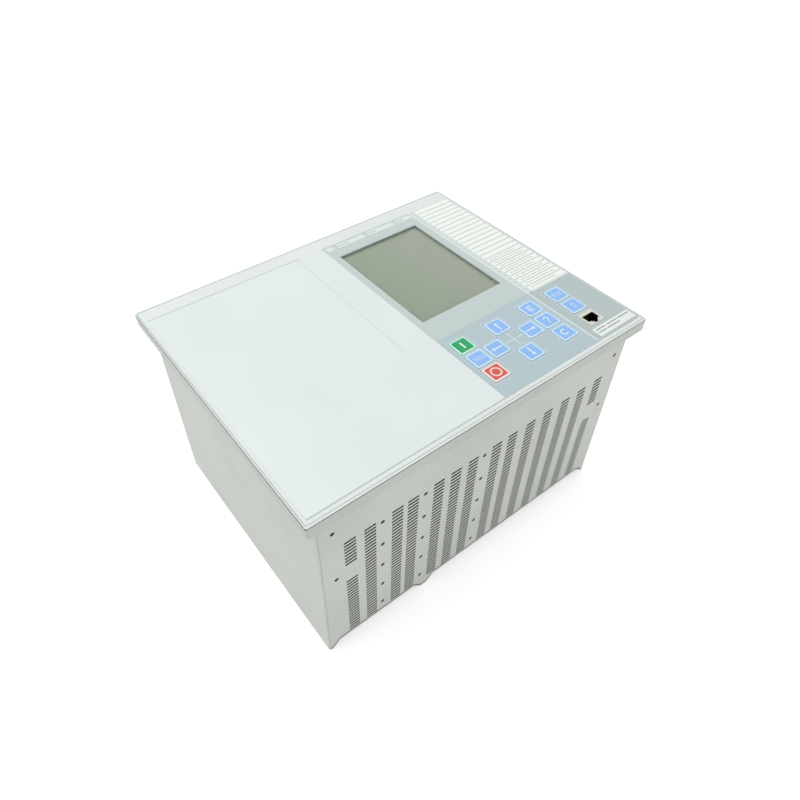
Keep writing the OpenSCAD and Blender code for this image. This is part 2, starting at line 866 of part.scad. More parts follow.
module partition_left() { partition(0); }
module partition_middle() { partition(1); }
module partition_right() { partition(2); }

// Card guides, one for each slot that holds a board
module card_guide(i) {
    x = slot_x0(i) + guide_side;
    difference() {
        between([x, -sheet_inner_y, guide_z0],
                [x + guide_w, -sheet_inner_y + guide_h, partition_z1 - guide_stop]);
        between([board_x(i) - board_t / 2 - touch, -sheet_inner_y + guide_h - guide_groove, guide_z0 - over],
                [board_x(i) + board_t / 2 + touch, -sheet_inner_y + guide_h + over, partition_z1]);
    }
}

module bottom_card_guides() {
    color("khaki") for (i = [left_slots:slot_n - 1]) card_guide(i);
}

module top_card_guides() {
    color("khaki") mirror([0, 1, 0]) for (i = [left_slots:slot_n - 1]) card_guide(i);
}

module backplane_board() {
    color("seagreen")
        between([partition_x(1) - partition_t / 2, -board_half, partition_z1],
                [wall_inner - seam, board_half, partition_z1 + board_t]);
}

connector_w = 9;
connector_share = 0.36;

module backplane_connectors() {
    color("whitesmoke")
        for (i = [left_slots:slot_n - 1], s = [-1, 1])
            block(board_x(i) + connector_w / 2 - board_t, s * board_half / 2, partition_z1 - connector_deep,
                  connector_w, 2 * board_half * connector_share, connector_deep);
}

// A board that stands in its guides, from its rear plate to the backplane's connectors
module slot_board(i) {
    between([board_x(i) - board_t / 2, -board_half, rear_step + sheet_t],
            [board_x(i) + board_t / 2, board_half, partition_z1 - connector_deep]);
}

// What is fixed to a rear plate has its place cut out of the board
module plug_rooms(i) {
    x = slot_mid(i);
    for (s = [-1, 1])
        block(x, s * plug_y, -over, header_w + 2 * header_clear, header_l + 2 * header_clear,
              rear_step + header_deep + header_floor + over);
}

function slot_mid(i) = slot_x0(i) + slot_pitch(i) / 2;

module io_boards() {
    color("seagreen")
        for (i = IO_SLOTS)
            difference() {
                slot_board(i);
                plug_rooms(i);
            }
}

module power_board() {
    color("seagreen")
        difference() {
            slot_board(power_slot);
            plug_rooms(power_slot);
        }
}

module processor_board() {
    color("seagreen")
        difference() {
            slot_board(processor_slot);
            optical_places() block(0, 0, 0, optical_body[0] + seam, optical_body[1] + seam,
                                   rear_step + optical_body[2] + seam);
        }
}

// Rear plate of one slot, with its two screw holes
module slot_plate(i) {
    difference() {
        between([slot_x0(i) + plate_seam / 2, -plate_half, rear_z],
                [slot_x0(i) + slot_pitch(i) - plate_seam / 2, plate_half, rear_step]);
        for (s = [-1, 1])
            rod(slot_mid(i), s * rear_screw_y, rear_z - over, rear_screw_hole, rear_plate_t + 2 * over);
    }
}

module io_plates() {
    color("lightgray")
        for (i = IO_SLOTS)
            difference() {
                slot_plate(i);
                plug_rooms(i);
            }
}

module blank_plates() { color("lightgray") for (i = BLANK_SLOTS) slot_plate(i); }

module power_plate() {
    color("lightgray")
        difference() {
            slot_plate(power_slot);
            plug_rooms(power_slot);
        }
}

module processor_plate() {
    color("lightgray")
        difference() {
            slot_plate(processor_slot);
            optical_places() rod(0, 0, rear_z - over, optical_d + 2 * touch, rear_plate_t + 2 * over);
        }
}

module optical_places() {
    for (i = [0:optical_n - 1])
        translate([slot_mid(processor_slot), optical_y0 + (i - optical_n / 2) * optical_pitch, 0]) children();
}

module optical_ports() {
    color("darkslategray")
        optical_places()
            difference() {
                union() {
                    block(0, 0, rear_step, optical_body[0], optical_body[1], optical_body[2]);
                    rod(0, 0, plug_z0, optical_d, rear_step - plug_z0 + touch);
                }
                rod(0, 0, 0, optical_core_d, rear_step);
            }
}

// Header: a shroud that the plug-in terminal block goes into from the rear
module pin_header(x, y) {
    top = rear_step + header_deep;
    difference() {
        union() {
            block(x, y, rear_z, header_w, header_l, top - rear_z);
            block(x, y, top - header_floor, header_w, header_l, 2 * header_floor);
        }
        block(x, y, rear_z - over, plug_w + 2 * plug_gap, plug_l + 2 * plug_gap, top - rear_z + over);
    }
}

module plug_places() {
    for (i = concat(IO_SLOTS, [power_slot]), s = [-1, 1]) translate([slot_mid(i), s * plug_y, 0]) children();
}

module pin_headers() { color("darkslategray") plug_places() pin_header(0, 0); }

// Plug-in terminal block: a row of wire entries and a row of screw pockets
module terminal_plug() {
    top = rear_step + header_deep - plug_gap;
    difference() {
        block(0, 0, plug_z0, plug_w, plug_l, top - plug_z0);
        for (i = [0:plug_ways - 1]) {
            y = (i - (plug_ways - 1) / 2) * plug_pitch;
            block(-entry_x, y, plug_z0 - over, entry_w, entry_w, entry_deep + over);
            translate([entry_x, y, plug_z0 - over])
                cylinder(d = port_screw_d, h = port_screw_deep + over, $fn = 8);
        }
    }
}

module terminal_plugs() { color("darkseagreen") plug_places() terminal_plug(); }

// Transformer modules in the two left bays
function strip_x(bay, j) = let (low = transformer_bays[bay][0], high = transformer_bays[bay][1])
    low + (high - low) * (j + 0.5) / STRIPS_PER_BAY[bay];

module strip_places() {
    for (bay = [0, 1]) for (j = [0:STRIPS_PER_BAY[bay] - 1]) translate([strip_x(bay, j), 0, 0]) children();
}

module transformer_plates() {
    color("lightgray")
        difference() {
            for (bay = [0, 1])
                between([transformer_bays[bay][0] + plate_seam, -plate_half, rear_z],
                        [transformer_bays[bay][1] - plate_seam, plate_half, rear_step]);
            strip_places() block(0, 0, 0, strip_w + 2 * touch, strip_l + 2 * touch, rear_step + over);
            strip_places()
                for (s = [-1, 1])
                    rod(0, s * rear_screw_y, rear_z - over, rear_screw_hole, rear_plate_t + 2 * over);
            earth_place() rod(0, 0, rear_z - over, earth_hole_d, rear_plate_t + 2 * over);
        }
}

module current_terminals() {
    color("darkslategray")
        strip_places()
            difference() {
                union() {
                    block(0, 0, strip_z0, strip_w, strip_l, strip_deep - strip_z0);
                    block(0, 0, rear_step, strip_w + 2 * header_wall, strip_l + 2 * header_wall,
                          strip_deep - rear_step);
                }
                for (i = [0:strip_ways - 1]) translate([0, (i - (strip_ways - 1) / 2) * strip_pitch, 0]) {
                    rod(strip_cell_x, 0, 0, strip_screw_d + 2 * strip_screw_gap,
                        strip_z0 + strip_screw_pocket);
                    block(-strip_cell_x, 0, 0, strip_entry, strip_entry, strip_z0 + strip_entry_deep);
                }
            }
}

module terminal_screws() {
    slot = strip_screw_d / 6;
    color("silver")
        strip_places()
            for (i = [0:strip_ways - 1])
                translate([strip_cell_x, (i - (strip_ways - 1) / 2) * strip_pitch,
                           strip_z0 + strip_screw_pocket / 3])
                    difference() {
                        cylinder(d = strip_screw_d, h = strip_screw_pocket * 2 / 3, $fn = small_fn);
                        block(0, 0, -over, strip_screw_d + over, slot, slot + over);
                    }
}

function transformer_board_x(bay) = transformer_bays[bay][0] + transformer_board_gap;

module transformer_boards() {
    color("seagreen")
        for (bay = [0, 1])
            between([transformer_board_x(bay), -transformer_half, rear_step],
                    [transformer_board_x(bay) + board_t, transformer_half, partition_z1 - connector_deep]);
}

module transformer_place(bay, i) {
    translate([transformer_board_x(bay) + board_t, (i - (transformer_rows - 1) / 2) * transformer_pitch,
               core_z0])
        children();
}

module transformer_cores() {
    color("slategray")
        for (bay = [0, 1], i = [0:transformer_rows - 1])
            transformer_place(bay, i)
                difference() {
                    translate([coil_out, -core_y / 2, 0]) cube([core_x, core_y, core_z]);
                    for (s = [-1, 1])
                        translate([0, s * (core_leg / 2 + core_window / 2) - core_window / 2, core_leg])
                            cube([core_x + 2 * coil_out, core_window, core_z - 2 * core_leg]);
                }
}

// Coil round the core's middle leg, standing on the board
module transformer_coils() {
    color("peru")
        for (bay = [0, 1], i = [0:transformer_rows - 1])
            transformer_place(bay, i)
                difference() {
                    translate([0, -core_leg / 2 - core_window + coil_gap, core_leg + coil_gap])
                        cube([core_x + 2 * coil_out, core_leg + 2 * core_window - 2 * coil_gap,
                              core_z - 2 * core_leg - 2 * coil_gap]);
                    translate([coil_out - coil_gap, -core_leg / 2 - coil_gap, 0])
                        cube([core_x + 2 * coil_gap, core_leg + 2 * coil_gap, core_z]);
                }
}

module earth_place() {
    translate([transformer_bays[0][0] + washer_d / 2 + earth_side, -plate_half + rear_fold + earth_up, 0])
        children();
}

// Earth screw with its washer
module earth_screw() {
    color("goldenrod")
        earth_place() {
            rod(0, 0, rear_z - washer_t, washer_d, washer_t);
            translate([0, 0, rear_z - washer_t - earth_t])
                cylinder(d = earth_d / cos(30), h = earth_t + touch, $fn = 6);
            rod(0, 0, rear_z - touch, earth_core_d, earth_long);
        }
}

// Screws that hold the rear plates to the vented sheets' rear folds
module rear_screw_places() {
    for (i = [0:slot_n - 1]) translate([slot_mid(i), -rear_screw_y, 0]) children();
    strip_places() translate([0, -rear_screw_y, 0]) children();
}

module rear_screws() {
    color("silver")
        both_sheets()
            rear_screw_places() {
                difference() {
                    rod(0, 0, rear_z - rear_screw_t, rear_screw_d, rear_screw_t, $fn = small_fn);
                    block(0, 0, rear_z - rear_screw_t - over, rear_screw_d + over, seam * 4, over + seam * 4);
                }
                rod(0, 0, rear_z - touch, rear_screw_core, rear_screw_long + touch, $fn = small_fn);
            }
}

front_frame();
plate_gasket();
front_plate();
blank_foil();
operator_foil();
display_pane();
display_panel();
display_frame();
label_card();
status_lamps();
indication_lamps();
operator_board();
key_switches();
operator_carrier();
carrier_nuts();
network_socket();
socket_contacts();
key_on();
key_menu();
key_off();
key_left();
key_up();
key_down();
key_right();
key_enter();
key_help();
key_cancel();
key_clear_lamps();
key_local_remote();
left_wall();
right_wall();
bottom_sheet();
top_sheet();
partition_left();
partition_middle();
partition_right();
sheet_screws();
bottom_card_guides();
top_card_guides();
backplane_board();
backplane_connectors();
power_board();
power_plate();
processor_board();
processor_plate();
optical_ports();
io_boards();
io_plates();
blank_plates();
pin_headers();
terminal_plugs();
transformer_plates();
transformer_boards();
transformer_cores();
transformer_coils();
current_terminals();
terminal_screws();
earth_screw();
rear_screws();
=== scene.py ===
"""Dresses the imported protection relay: paint, foils, printed marks, keys, lamps, screws and terminals."""
import json
import math

import bmesh
import bpy
from mathutils import Matrix, Vector


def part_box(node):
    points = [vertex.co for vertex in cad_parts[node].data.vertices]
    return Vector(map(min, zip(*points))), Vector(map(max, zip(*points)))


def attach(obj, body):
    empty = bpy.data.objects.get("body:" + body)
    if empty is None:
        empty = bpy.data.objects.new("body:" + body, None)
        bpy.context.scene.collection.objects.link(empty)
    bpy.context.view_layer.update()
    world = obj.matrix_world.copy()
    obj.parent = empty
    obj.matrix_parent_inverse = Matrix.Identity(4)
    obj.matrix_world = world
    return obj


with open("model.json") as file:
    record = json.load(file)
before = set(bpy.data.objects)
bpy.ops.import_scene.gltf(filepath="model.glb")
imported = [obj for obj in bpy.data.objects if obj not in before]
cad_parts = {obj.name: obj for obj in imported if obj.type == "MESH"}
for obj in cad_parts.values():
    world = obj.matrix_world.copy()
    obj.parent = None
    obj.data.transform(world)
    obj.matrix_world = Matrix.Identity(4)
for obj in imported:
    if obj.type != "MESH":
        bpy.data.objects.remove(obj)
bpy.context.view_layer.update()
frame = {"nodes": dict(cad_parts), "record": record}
scene = bpy.context.scene
MM = 0.001
CASE = "case"
SLOTS = {row["node"]: row["material_slot"] for row in frame["record"]["subparts"]}

# Camera at the photograph's viewing angle, in metres; lens and sensor in millimetres
CAMERA_PLACE = Vector((-0.2679, -0.3412, 0.5552))
CAMERA_FORWARD = Vector((0.4220, 0.5621, -0.7113))
CAMERA_RIGHT = Vector((0.7971, -0.6039, -0.0044))
CAMERA_LENS = 30.0
CAMERA_SENSOR = 36.0
CAMERA_SHIFT = (0.0276, -0.0160)
CAMERA_CLIP = (0.01, 50.0)


def make_camera():
    """The camera, turned so that its view runs forward and its own right side lies to the right."""
    data = bpy.data.cameras.new("camera")
    data.lens = CAMERA_LENS
    data.sensor_width = CAMERA_SENSOR
    data.shift_x, data.shift_y = CAMERA_SHIFT
    data.clip_start, data.clip_end = CAMERA_CLIP
    cam = bpy.data.objects.new("camera", data)
    back = -CAMERA_FORWARD.normalized()
    right = (CAMERA_RIGHT - CAMERA_RIGHT.project(back)).normalized()
    up = back.cross(right)
    turn = Matrix((right, up, back)).transposed().to_4x4()
    cam.matrix_world = Matrix.Translation(CAMERA_PLACE) @ turn
    scene.collection.objects.link(cam)
    scene.camera = cam


def linear(hex_colour, alpha=1.0):
    """An sRGB hex colour as the linear colour that the shaders take."""
    parts = [int(hex_colour[i:i + 2], 16) / 255 for i in (1, 3, 5)]
    return (*[p / 12.92 if p <= 0.04045 else ((p + 0.055) / 1.055) ** 2.4 for p in parts], alpha)


def add(tree, kind, settings=None, links=None):
    """Adds a node, sets its properties and its unlinked inputs, and links the given outputs to its inputs."""
    made = tree.nodes.new("ShaderNode" + kind)
    for key, value in (settings or {}).items():
        if isinstance(key, str) and hasattr(made, key):
            setattr(made, key, value)
        else:
            made.inputs[key].default_value = value
    for key, output in (links or {}).items():
        tree.links.new(output, made.inputs[key])
    return made


def start(name, hex_colour, rough, metal=0.0, ior=1.45):
    """A material with its surface shader, and the object's own coordinates in metres."""
    made = bpy.data.materials.new(name)
    made.use_nodes = True
    tree = made.node_tree
    tree.nodes.clear()
    out = add(tree, "OutputMaterial")
    surface = add(tree, "BsdfPrincipled", {"Base Color": linear(hex_colour), "Roughness": rough,
                                           "Metallic": metal, "IOR": ior})
    tree.links.new(surface.outputs["BSDF"], out.inputs["Surface"])
    place = add(tree, "TexCoord").outputs["Object"]
    return made, tree, surface, place


def grain(tree, place, size_mm, detail=2.0, stretch=(1, 1, 1)):
    """Noise whose lumps are size_mm across, longer along an axis where stretch is above one."""
    per_metre = 1 / (size_mm * MM)
    spread = add(tree, "Mapping", {"Scale": tuple(per_metre / s for s in stretch)}, {"Vector": place})
    return add(tree, "TexNoise", {"Scale": 1.0, "Detail": detail}, {"Vector": spread.outputs["Vector"]})


def tint(tree, surface, hex_low, hex_high, factor, low=0.35, high=0.65):
    """Lets the colour wander between two near tones."""
    spread = add(tree, "MapRange", {"From Min": low, "From Max": high}, {"Value": factor})
    mixed = add(tree, "Mix", {"data_type": "RGBA", 6: linear(hex_low), 7: linear(hex_high)},
                {0: spread.outputs["Result"]})
    tree.links.new(mixed.outputs[2], surface.inputs["Base Color"])


def relief(tree, surface, height, deep_mm, edge_mm=0.0):
    """Bump of a real depth, over edges that are softened to a real radius."""
    bump = add(tree, "Bump", {"Strength": 1.0, "Distance": deep_mm * MM}, {"Height": height})
    if edge_mm:
        soft = add(tree, "Bevel", {"samples": 4, "Radius": edge_mm * MM})
        tree.links.new(soft.outputs["Normal"], bump.inputs["Normal"])
    tree.links.new(bump.outputs["Normal"], surface.inputs["Normal"])


def powder_coat(name, hex_low, hex_high, edge_mm):
    """Baked polyester powder on steel sheet: a soft sheen broken up by a fine orange-peel texture."""
    cloud_mm, peel_mm, peel_deep_mm = 70.0, 1.1, 0.03
    made, tree, surface, place = start(name, hex_high, 0.48)
    tint(tree, surface, hex_low, hex_high, grain(tree, place, cloud_mm).outputs["Fac"])
    peel = grain(tree, place, peel_mm, detail=3.0)
    rough = add(tree, "MapRange", {"To Min": 0.42, "To Max": 0.56}, {"Value": peel.outputs["Fac"]})
    tree.links.new(rough.outputs["Result"], surface.inputs["Roughness"])
    relief(tree, surface, peel.outputs["Fac"], peel_deep_mm, edge_mm)
    return made


def overlap(tree, *masks):
    """One where all the masks are one, and nothing elsewhere."""
    shared = masks[0]
    for mask in masks[1:]:
        shared = add(tree, "Math", {"operation": "MULTIPLY"}, {0: shared, 1: mask}).outputs[0]
    return shared


def near(tree, value, low, high):
    """One where a value lies between two bounds, and nothing elsewhere."""
    above = add(tree, "Math", {"operation": "GREATER_THAN", 1: low}, {0: value})
    below = add(tree, "Math", {"operation": "LESS_THAN", 1: high}, {0: value})
    return overlap(tree, above.outputs[0], below.outputs[0])


def ripple(tree, value, pitch_mm):
    """Even waves along a coordinate, one for each pitch."""
    turns = add(tree, "Math", {"operation": "MULTIPLY", 1: 2 * math.pi / (pitch_mm * MM)}, {0: value})
    return add(tree, "Math", {"operation": "SINE"}, {0: turns.outputs[0]}).outputs[0]


def repaint(tree, surface, hex_colour, where):
    """Lays another colour over a surface's own, where a mask is one."""
    own = surface.inputs["Base Color"].links[0].from_socket
    mixed = add(tree, "Mix", {"data_type": "RGBA", 7: linear(hex_colour)}, {0: where, 6: own})
    tree.links.new(mixed.outputs[2], surface.inputs["Base Color"])


def coated(name, hex_low, hex_high, edge_mm):
    """Powder coat with what is needed to repaint parts of it: place and facing, split by axis."""
    made = powder_coat(name, hex_low, hex_high, edge_mm)
    tree = made.node_tree
    place = add(tree, "SeparateXYZ", links={"Vector": add(tree, "TexCoord").outputs["Object"]})
    facing = add(tree, "SeparateXYZ", links={"Vector": add(tree, "NewGeometry").outputs["True Normal"]})
    return made, tree, tree.nodes["Principled BSDF"], place.outputs, facing.outputs


def punched_sheet(name):
    """Painted sheet with punched slots, whose slot walls are darkened as painted shade, short of the sheet's painted
    ends.
    """
    end = 2.0
    made, tree, surface, place, facing = coated(name, "#D0D4CD", "#D6DAD3", 0.2)
    depth = add(tree, "Math", {"operation": "ABSOLUTE"}, {0: place["Y"]}).outputs[0]
    is_sheet = near(tree, depth, (SHEET_HIGH.y - SLOT_WALL_DEPTH) * MM, 1.0)
    is_edge = near(tree, facing["Y"], -0.5, 0.5)
    inward = near(tree, place["X"], (SHEET_LOW.x + end) * MM, (SHEET_HIGH.x - end) * MM)
    # Painted shade: the slot walls are darkened where shade falls inside the slots
    repaint(tree, surface, "#686A66", overlap(tree, is_edge, is_sheet, inward))
    return made


def folded_frame(name):
    """The front frame's coat: its sides a darker tone as painted shade, its lip's upward face in the plate's lighter
    colour, and painted shade in the groove under the lip, broader at the left side.
    """
    made, tree, surface, place, facing = coated(name, "#C8CCC5", "#CED2CB", 0.12)
    is_up = near(tree, facing["Z"], 0.5, 2.0)
    is_left = near(tree, facing["X"], -2.0, -0.5)
    groove, left_side_shade = (near(tree, place["Z"], (FRAME_HIGH.z - low) * MM, (FRAME_HIGH.z - high) * MM)
                         for low, high in (GROOVE_SHADE, LEFT_SIDE_SHADE))
    repaint(tree, surface, "#E2E9E6", is_up)
    # Painted shade in the groove under the lip, and on the left side just below it
    repaint(tree, surface, "#4A4D4A", groove)
    repaint(tree, surface, "#565A56", overlap(tree, is_left, left_side_shade))
    return made


def front_plate_paint(name):
    """The plate's smooth coat, with painted shade on the walls of the display's opening, below their upper edge,
    which keeps the coat's colour.
    """
    rim, lit_edge = 0.5, 0.9
    made, tree, surface, place, _ = coated(name, "#E3EAE7", "#E7EEEB", 0.3)
    wide = near(tree, place["X"], (PANE_LOW.x - rim) * MM, (PANE_HIGH.x + rim) * MM)
    high = near(tree, place["Y"], (PANE_LOW.y - rim) * MM, (PANE_HIGH.y + rim) * MM)
    deep = near(tree, place["Z"], 0, (FACE - lit_edge) * MM)
    # Painted shade on the walls of the display's opening
    repaint(tree, surface, "#757D75", overlap(tree, deep, wide, high))
    return made


def foil_tooth(tree, surface, place):
    """The fine matt tooth of a polyester foil, drawn coarser than the real one so that it shows."""
    relief(tree, surface, grain(tree, place, 0.35).outputs["Fac"], 0.006)


def printed_foil(name, hex_low, hex_high):
    """Screen-printed polyester foil: a satin face that wanders a little in colour."""
    made, tree, surface, place = start(name, hex_high, 0.36, ior=1.57)
    tint(tree, surface, hex_low, hex_high, grain(tree, place, 90.0).outputs["Fac"])
    foil_tooth(tree, surface, place)
    return made


def operator_print(name):
    """The operator foil's print: a pale blue grey that darkens over the keys and is lighter beside the lamps."""
    made, tree, surface, place = start(name, "#C1CFCC", 0.36, ior=1.57)
    parts = add(tree, "SeparateXYZ", links={"Vector": place})
    above_keys = add(tree, "MapRange", {"From Min": KEY_ZONE_TOP * MM, "From Max": (KEY_ZONE_TOP + 0.6) * MM},
                     {"Value": parts.outputs["Y"]})
    by_lamps = add(tree, "MapRange", {"From Min": (DIVIDER_X + 0.2) * MM, "From Max": (DIVIDER_X + 0.6) * MM},
                   {"Value": parts.outputs["X"]})
    upper, lower = (add(tree, "Mix", {"data_type": "RGBA", 6: linear(left), 7: linear(right)},
                        {0: by_lamps.outputs["Result"]})
                    for left, right in (("#C4D2CF", "#DBE4E1"), ("#B6C9CE", "#B7C4C5")))
    mixed = add(tree, "Mix", {"data_type": "RGBA"},
                {0: above_keys.outputs["Result"], 6: lower.outputs[2], 7: upper.outputs[2]})
    tree.links.new(mixed.outputs[2], surface.inputs["Base Color"])
    foil_tooth(tree, surface, place)
    return made


def ink(name, hex_colour, rough=0.42):
    """Screen-printed ink: flat and even, with a trace of its mesh, drawn coarser than the real 0.1 mm."""
    made, tree, surface, place = start(name, hex_colour, rough, ior=1.5)
    relief(tree, surface, grain(tree, place, 0.3).outputs["Fac"], 0.004)
    return made


def moulded(name, hex_low, hex_high, rough=0.45, grain_mm=0.5, deep_mm=0.01, edge_mm=0.15):
    """Injection-moulded ABS or polyamide: an even sheen over a fine spark-eroded grain.

    The grain is drawn coarser than the real 0.1 mm, so that it shows."""
    made, tree, surface, place = start(name, hex_high, rough, ior=1.53)
    tint(tree, surface, hex_low, hex_high, grain(tree, place, 12.0).outputs["Fac"])
    relief(tree, surface, grain(tree, place, grain_mm).outputs["Fac"], deep_mm, edge_mm)
    return made


def sheet_metal(name, hex_low, hex_high, rough, brush_mm, run_mm):
    """Rolled or plated metal sheet: bright, with streaks that run the way it was rolled.

    The streaks are drawn coarser than the real 0.1 mm, so that they show."""
    made, tree, surface, place = start(name, hex_high, rough, metal=1.0)
    streak = grain(tree, place, brush_mm, detail=3.0, stretch=(1, run_mm / brush_mm, 1))
    tint(tree, surface, hex_low, hex_high, streak.outputs["Fac"])
    spread = add(tree, "MapRange", {"To Min": rough - 0.08, "To Max": rough + 0.1},
                 {"Value": streak.outputs["Fac"]})
    tree.links.new(spread.outputs["Result"], surface.inputs["Roughness"])
    relief(tree, surface, streak.outputs["Fac"], 0.004, 0.15)
    return made


def liquid_crystal(name):
    """An unlit reflective display: grey green, lighter to the right, with painted shade at its rim, and rows of
    points.
    """
    made, tree, surface, place = start(name, "#8B9385", 0.38, ior=1.5)
    parts = add(tree, "SeparateXYZ", links={"Vector": place})
    tint(tree, surface, "#81907D", "#95978D", parts.outputs["X"], low=PANE_LOW.x * MM, high=PANE_HIGH.x * MM)
    rows = []
    shades = []
    for axis, low, high in (("X", PANE_LOW.x, PANE_HIGH.x), ("Y", PANE_LOW.y, PANE_HIGH.y)):
        rows.append(ripple(tree, parts.outputs[axis], DOT_PITCH))
        off = add(tree, "Math", {"operation": "SUBTRACT", 1: (low + high) / 2 * MM}, {0: parts.outputs[axis]})
        out = add(tree, "Math", {"operation": "ABSOLUTE"}, {0: off.outputs[0]})
        shades.append(add(tree, "MapRange", {"From Min": ((high - low) / 2 - DISPLAY_RIM) * MM,
                                             "From Max": (high - low) / 2 * MM}, {"Value": out.outputs[0]}))
    dots = add(tree, "Math", {"operation": "MAXIMUM"}, {0: rows[0], 1: rows[1]})
    relief(tree, surface, dots.outputs[0], 0.003)
    shade = add(tree, "Math", {"operation": "MAXIMUM"},
                {0: shades[0].outputs["Result"], 1: shades[1].outputs["Result"]})
    # Painted shade along the display's rim
    repaint(tree, surface, "#5E675B", shade.outputs[0])
    return made


def clear_pane(name):
    """A hard-coated acrylic pane: clear, a little green, with a polished face."""
    made, tree, surface, place = start(name, "#F6FAF5", 0.03, ior=1.49)
    surface.inputs["Transmission Weight"].default_value = 1.0
    relief(tree, surface, grain(tree, place, 30.0).outputs["Fac"], 0.004)
    seen = add(tree, "LightPath")
    through = add(tree, "BsdfTransparent", {"Color": linear("#F6FAF5")})
    mixed = add(tree, "MixShader", links={0: seen.outputs["Is Shadow Ray"], 1: surface.outputs["BSDF"],
                                          2: through.outputs["BSDF"]})
    tree.links.new(mixed.outputs[0], tree.nodes["Material Output"].inputs["Surface"])
    return made


def socket_plastic(name):
    """The socket's polyester: ivory on the face that shows, and painted black shade down in the opening, where no
    light goes.
    """
    made, tree, surface, place = start(name, "#E2E0D4", 0.35, ior=1.55)
    parts = add(tree, "SeparateXYZ", links={"Vector": place})
    up = add(tree, "MapRange", {"From Min": (FACE - 0.4) * MM, "From Max": (FACE - 0.2) * MM},
             {"Value": parts.outputs["Z"]})
    # Painted shade: black below the face, ivory at it
    mixed = add(tree, "Mix", {"data_type": "RGBA", 6: linear("#101111"), 7: linear("#DDDED4")},
                {0: up.outputs["Result"]})
    tree.links.new(mixed.outputs[2], surface.inputs["Base Color"])
    relief(tree, surface, grain(tree, place, 0.5).outputs["Fac"], 0.008, 0.15)
    return made


def frosted_lens(name):
    """A lamp's light guide, unlit: milky polycarbonate that glows a little from its depth."""
    made, tree, surface, place = start(name, "#DCE6E2", 0.3, ior=1.58)
    surface.inputs["Subsurface Weight"].default_value = 0.2
    surface.inputs["Subsurface Radius"].default_value = (0.002, 0.002, 0.002)
    relief(tree, surface, grain(tree, place, 0.6).outputs["Fac"], 0.01)
    return made


def card(name):
    """White label card: dead matt, with the faint cloud of its paper fibres."""
    made, tree, surface, place = start(name, "#F8FDF8", 0.7)
    fibres = grain(tree, place, 0.8, detail=6.0, stretch=(3, 1, 1))
    tint(tree, surface, "#F5FAF5", "#FAFEF9", fibres.outputs["Fac"])
    relief(tree, surface, fibres.outputs["Fac"], 0.01)
    return made


def circuit_board(name):
    """Glass-fibre board under green solder resist: glossy, with copper tracks as a faint relief."""
    block_mm = 9.0
    made, tree, surface, place = start(name, "#17653A", 0.28, ior=1.55)
    tracks = add(tree, "TexBrick", {"Scale": 1 / (block_mm * MM), "Color1": linear("#1B6E40"),
                                    "Color2": linear("#15603A"), "Mortar": linear("#2C8A55"),
                                    "Mortar Size": 0.03}, {"Vector": place})
    tree.links.new(tracks.outputs["Color"], surface.inputs["Base Color"])
    relief(tree, surface, tracks.outputs["Fac"], 0.035)
    return made


def foam_rubber(name):
    """Closed-cell foam gasket: black, soft and full of fine pits."""
    cell_mm = 0.5
    made, tree, surface, place = start(name, "#1E1F1F", 0.85)
    cells = add(tree, "TexVoronoi", {"Scale": 1 / (cell_mm * MM)}, {"Vector": place})
    relief(tree, surface, cells.outputs["Distance"], 0.08)
    return made


def wound_coil(name):
    """Enamelled copper wire under amber tape: rounds of 1 mm that lie side by side."""
    made, tree, surface, place = start(name, "#B9782E", 0.3)
    parts = add(tree, "SeparateXYZ", links={"Vector": place})
    relief(tree, surface, ripple(tree, parts.outputs["Z"], 1.0), 0.12)
    return made


def laminations(name):
    """Stacked electrical sheet, 0.5 mm a leaf, drawn 1 mm apart so that the leaves show."""
    made, tree, surface, place = start(name, "#5A5E60", 0.45, metal=0.8)
    parts = add(tree, "SeparateXYZ", links={"Vector": place})
    relief(tree, surface, ripple(tree, parts.outputs["X"], 1.0), 0.06)
    return made


def mm_box(node):
    """A node's low and high corner in millimetres."""
    low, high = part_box(node)
    return Vector(low) / MM, Vector(high) / MM


def centre(node):
    """The middle of a node as seen from the front, in millimetres."""
    low, high = mm_box(node)
    return (low.x + high.x) / 2, (low.y + high.y) / 2


# Places on the front, from the frame's own pieces, in millimetres
FOIL_LOW, FOIL_HIGH = mm_box("operator_foil")
BLANK_LOW, BLANK_HIGH = mm_box("blank_foil")
CARD_LOW, CARD_HIGH = mm_box("label_card")
PANE_LOW, PANE_HIGH = mm_box("display_pane")
LAMPS_LOW, LAMPS_HIGH = mm_box("indication_lamps")
SHEET_LOW, SHEET_HIGH = mm_box("top_sheet")
FRAME_HIGH = mm_box("front_frame")[1]
STATUS_LOW, STATUS_HIGH = mm_box("status_lamps")
FACE = FOIL_HIGH.z
# Middle of the divider beside the lamps, upper edge of the darker zone with the keys, and the status rules
DIVIDER_X = 114.2
KEY_ZONE_TOP = CARD_LOW.y - 1.3
STATUS_Y = FOIL_HIGH.y - 5.2
# Right edge and lower end of the insert pocket behind the blank foil
POCKET_X, POCKET_Y = -17.4, -42.0
# The vented sheets' metal with a hair to spare, in which the slot walls take painted shade, the height of their rear
# edge with its tabs, and the width of the painted shadow along it
SLOT_WALL_DEPTH = 1.02
REAR_ZONE = 9.5
REAR_SHADOW_WIDTH = 2.0
# Lower and upper edge of the painted shade in the frame's groove, down from the frame's face, and the same for the
# painted shade at its left side
GROOVE_SHADE = (0.97, 0.25)
LEFT_SIDE_SHADE = (1.9, 0.12)
# Rows of the label card, and how many of the lowest ones carry dashes
LABEL_ROWS = 25
DASHED_ROWS = 9
# Pitch of the display's points, and width of the painted shade at its rim
DOT_PITCH = 0.4
DISPLAY_RIM = 4.2
# Thickness of the print
PRINT_T = 0.05
# Low and high corner of the white label, and its thickness
LABEL_PLACE = (120.0, -124.9, 163.8, -114.9)
LABEL_T = 0.12
